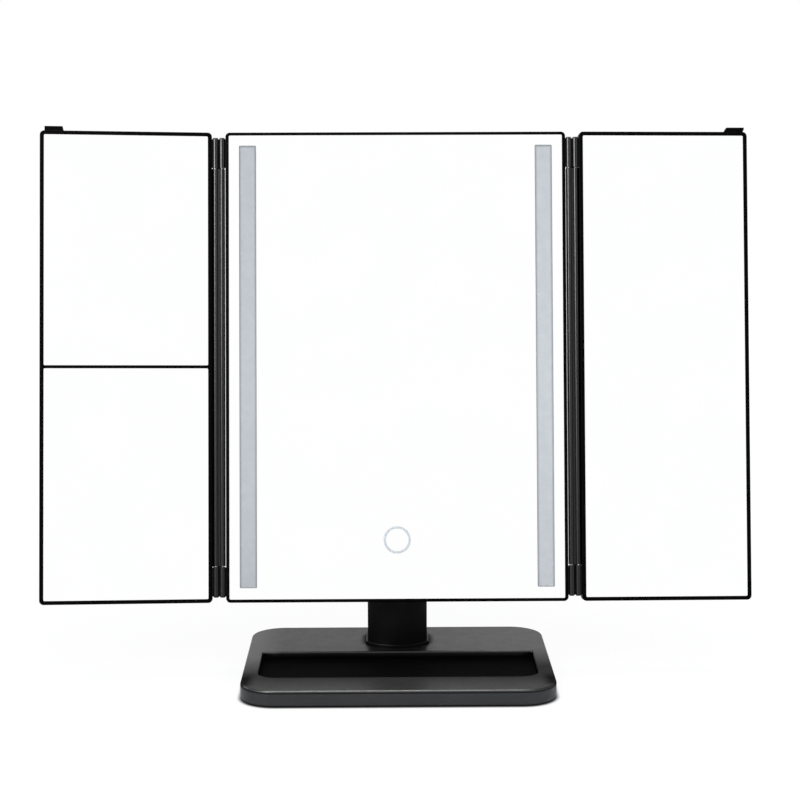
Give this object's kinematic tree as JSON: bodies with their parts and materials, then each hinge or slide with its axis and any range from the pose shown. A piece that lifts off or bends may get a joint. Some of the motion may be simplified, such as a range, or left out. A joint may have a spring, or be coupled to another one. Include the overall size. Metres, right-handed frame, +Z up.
{
  "type": "trifold vanity mirror",
  "caption": "Table vanity mirror whose side wings fold on double hinges over a lit middle panel that tilts on a tray base.",
  "frame": {"origin": "middle of the underside of the base, on the table", "axes": "+X to the right of a person who looks into the mirror, +Y away from them, +Z up"},
  "size_m": [0.3532, 0.116, 0.2695],
  "materials": {
    "black_plastic": "moulded black plastic with a soft sheen",
    "black_back": "moulded black plastic, fine grain",
    "deck_plastic": "dark grey-black plastic with a satin surface",
    "shell_plastic": "dark grey plastic with a fine grain",
    "neck_plastic": "satin black plastic",
    "hinge_black": "glossy black extruded bar",
    "silvered_glass": "clear glass silvered behind",
    "light_diffuser": "milky translucent plastic",
    "ring_print": "milky clear line in the silvering",
    "steel": "plated steel",
    "dark_steel": "blackened steel",
    "cast_weight": "cast iron plate",
    "soft_pad": "matt soft rubber",
    "tray_skin": "matt black liner",
    "foam_tape": "foam tape",
    "copper": "copper foil",
    "white_board": "white circuit board",
    "led_yellow": "light chips",
    "green_board": "green circuit board",
    "cell_sleeve": "plain sleeved cells",
    "nylon": "white washers"
  },
  "bodies": {
    "base": {"base_shell": "shell_plastic", "base_top": "deck_plastic", "base_weight": "cast_weight", "anti_slip_pad": "soft_pad", "tray_liner": "tray_skin", "base_screws": "steel", "neck": "neck_plastic", "neck_cover": "black_back", "neck_screws": "steel"},
    "middle_panel": {"center_frame": "black_plastic", "center_barrels": "hinge_black", "center_back": "black_back", "center_mirror": "silvered_glass", "center_tape": "foam_tape", "light_windows": "light_diffuser", "touch_ring": "ring_print", "touch_pad": "copper", "led_boards": "white_board", "led_chips": "led_yellow", "control_board": "green_board", "usb_socket": "steel", "center_screws": "dark_steel", "batteries": "cell_sleeve", "battery_contacts": "steel", "tilt_bracket": "dark_steel", "bracket_screws": "dark_steel", "tilt_shaft": "steel", "tilt_nut": "steel", "tilt_washers": "nylon"},
    "door": {"battery_door": "black_back"},
    "left_link": {"left_spine": "hinge_black", "left_hinge_pins": "steel"},
    "right_link": {"right_spine": "hinge_black", "right_hinge_pins": "steel"},
    "left_wing": {"left_frame": "black_plastic", "left_barrels": "hinge_black", "left_back": "black_back", "left_upper_mirror": "silvered_glass", "left_lower_mirror": "silvered_glass", "left_tape": "foam_tape"},
    "right_wing": {"right_frame": "black_plastic", "right_barrels": "hinge_black", "right_back": "black_back", "right_mirror": "silvered_glass", "right_tape": "foam_tape"}
  },
  "joints": [
    {"name": "tilt", "type": "hinge", "parent": "base", "child": "middle_panel", "pos_m": [0, 0.0278, 0.05716], "axis": [-1, 0, 0], "range_deg": [-10, 80]},
    {"name": "left_link_hinge", "type": "hinge", "parent": "middle_panel", "child": "left_link", "pos_m": [-0.08675, 0.00518, 0.03465], "axis": [0, 0.1685, 0.9857], "range_deg": [0, 90]},
    {"name": "left_wing_hinge", "type": "hinge", "parent": "left_link", "child": "left_wing", "pos_m": [-0.09005, 0.00518, 0.03465], "axis": [0, 0.1685, 0.9857], "range_deg": [-8.8, 84.2]},
    {"name": "right_link_hinge", "type": "hinge", "parent": "middle_panel", "child": "right_link", "pos_m": [0.08675, 0.00518, 0.03465], "axis": [0, -0.1685, -0.9857], "range_deg": [0, 90]},
    {"name": "right_wing_hinge", "type": "hinge", "parent": "right_link", "child": "right_wing", "pos_m": [0.09005, 0.00518, 0.03465], "axis": [0, -0.1685, -0.9857], "range_deg": [-1.2, 91.8]},
    {"name": "battery_door_release", "type": "slide", "parent": "middle_panel", "child": "door", "axis": [0, 0.9857, -0.1685], "range_m": [0, 0.02]}
  ]
}
